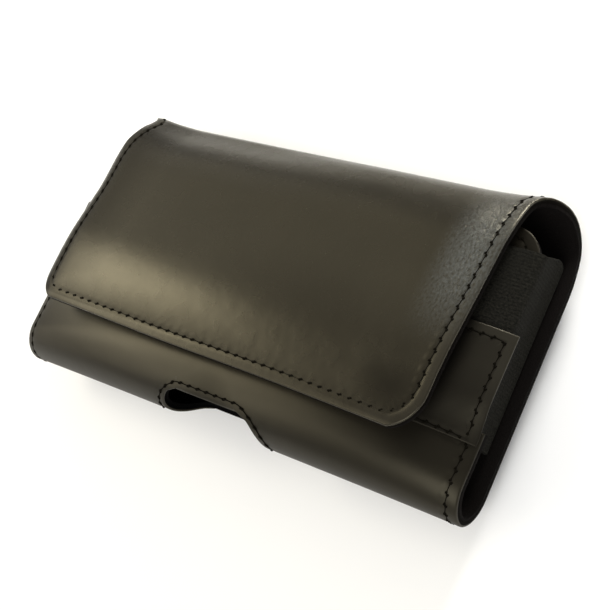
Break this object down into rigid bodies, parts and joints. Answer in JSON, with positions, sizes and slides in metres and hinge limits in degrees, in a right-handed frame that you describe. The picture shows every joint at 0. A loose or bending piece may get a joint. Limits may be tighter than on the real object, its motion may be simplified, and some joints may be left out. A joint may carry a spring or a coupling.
{
  "type": "phone belt holster",
  "caption": "Horizontal black leather phone holster with a stitched fold-over flap, elastic end gussets, a thumb notch and belt loops.",
  "frame": {"origin": "middle of the footprint on the surface that the holster lies on, with its back down", "axes": "+X along its length, +Y towards the top fold, +Z out of the front"},
  "size_m": [0.18, 0.1, 0.0441],
  "materials": {
    "black_leather": "smooth semi-gloss",
    "dark_lining": "matt",
    "black_elastic": "woven",
    "magnet_plate": "plated"
  },
  "bodies": {
    "pouch": {"body_leather": "black_leather", "body_lining": "dark_lining", "left_gusset": "black_elastic", "right_gusset": "black_elastic", "left_end_tab": "black_leather", "right_end_tab": "black_leather", "left_belt_loop": "black_leather", "right_belt_loop": "black_leather", "left_front_magnet": "magnet_plate", "right_front_magnet": "magnet_plate"},
    "flap": {"flap_leather": "black_leather", "flap_lining": "dark_lining", "left_flap_magnet": "magnet_plate", "right_flap_magnet": "magnet_plate"}
  },
  "joints": [
    {"name": "flap_hinge", "type": "hinge", "parent": "pouch", "child": "flap", "pos_m": [0, 0.0503, 0.0222], "axis": [-1, 0, 0], "range_deg": [0, 160]}
  ]
}
